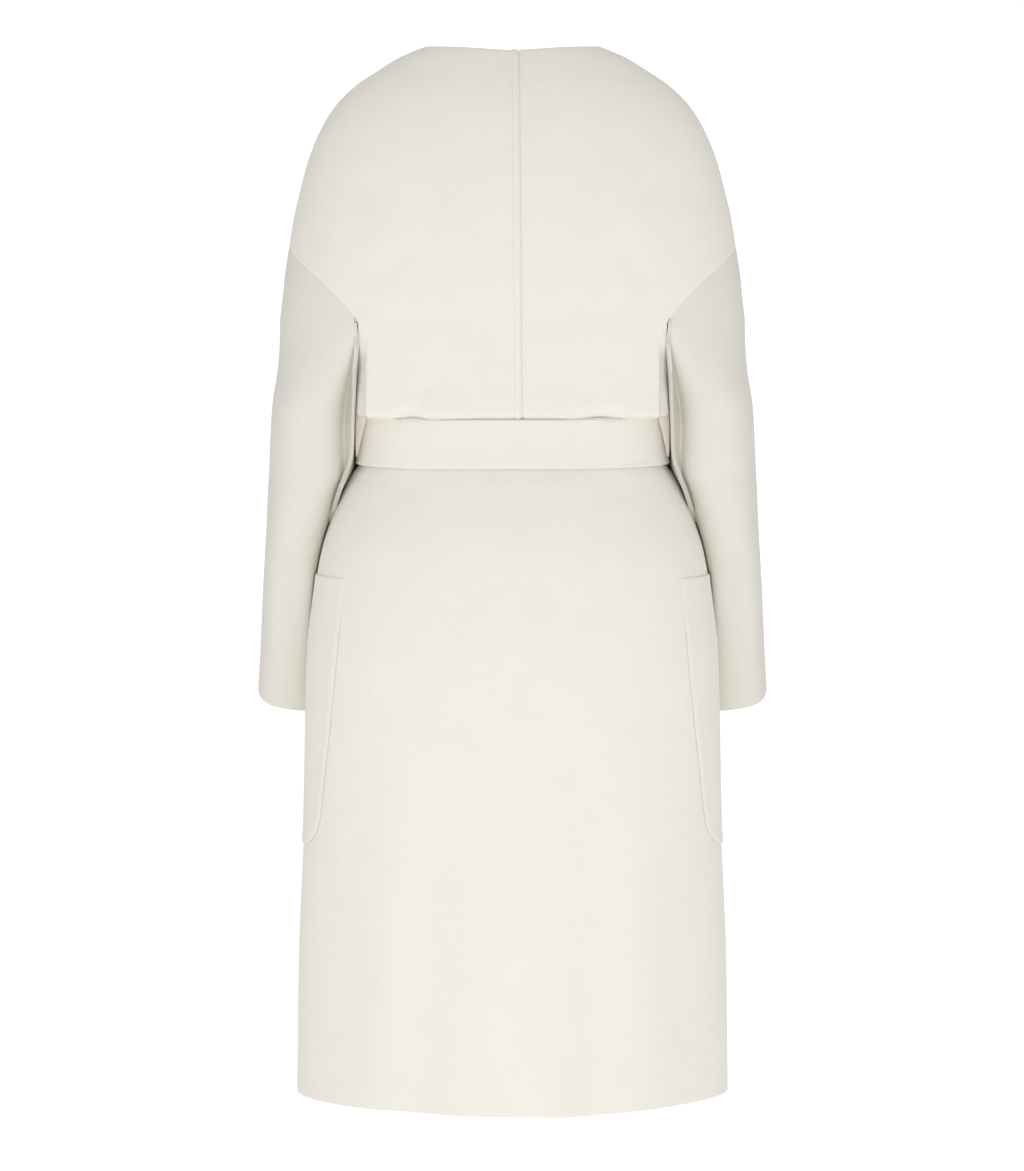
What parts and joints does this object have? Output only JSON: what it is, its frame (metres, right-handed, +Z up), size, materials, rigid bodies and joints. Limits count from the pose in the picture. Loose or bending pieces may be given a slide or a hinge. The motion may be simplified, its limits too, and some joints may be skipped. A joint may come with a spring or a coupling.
{
  "type": "belted wrap coat",
  "caption": "Collarless wool wrap coat filled out as worn, with dropped sleeves, patch pockets and a tied belt; open neck, cuffs and hem.",
  "frame": {"origin": "centre of the neck opening, level with the shoulder seams' neck ends", "axes": "+Z up, +Y out of the coat's back, -Y out of its fronts, +X to the wearer's left"},
  "size_m": [0.542, 0.3409, 1.0971],
  "materials": {
    "coat_wool": "soft brushed double-faced wool, cream",
    "belt_wool": "the same brushed wool, pressed flat"
  },
  "bodies": {
    "root": {"back_upper_left": "coat_wool", "back_upper_right": "coat_wool", "back_skirt": "coat_wool", "front_upper_left": "coat_wool", "front_skirt_left": "coat_wool", "front_upper_right": "coat_wool", "front_skirt_right": "coat_wool", "sleeve_left": "coat_wool", "sleeve_right": "coat_wool", "pocket_left": "coat_wool", "pocket_right": "coat_wool", "belt_band": "belt_wool", "belt_knot": "belt_wool", "belt_tail_left": "belt_wool", "belt_tail_right": "belt_wool"}
  },
  "joints": []
}
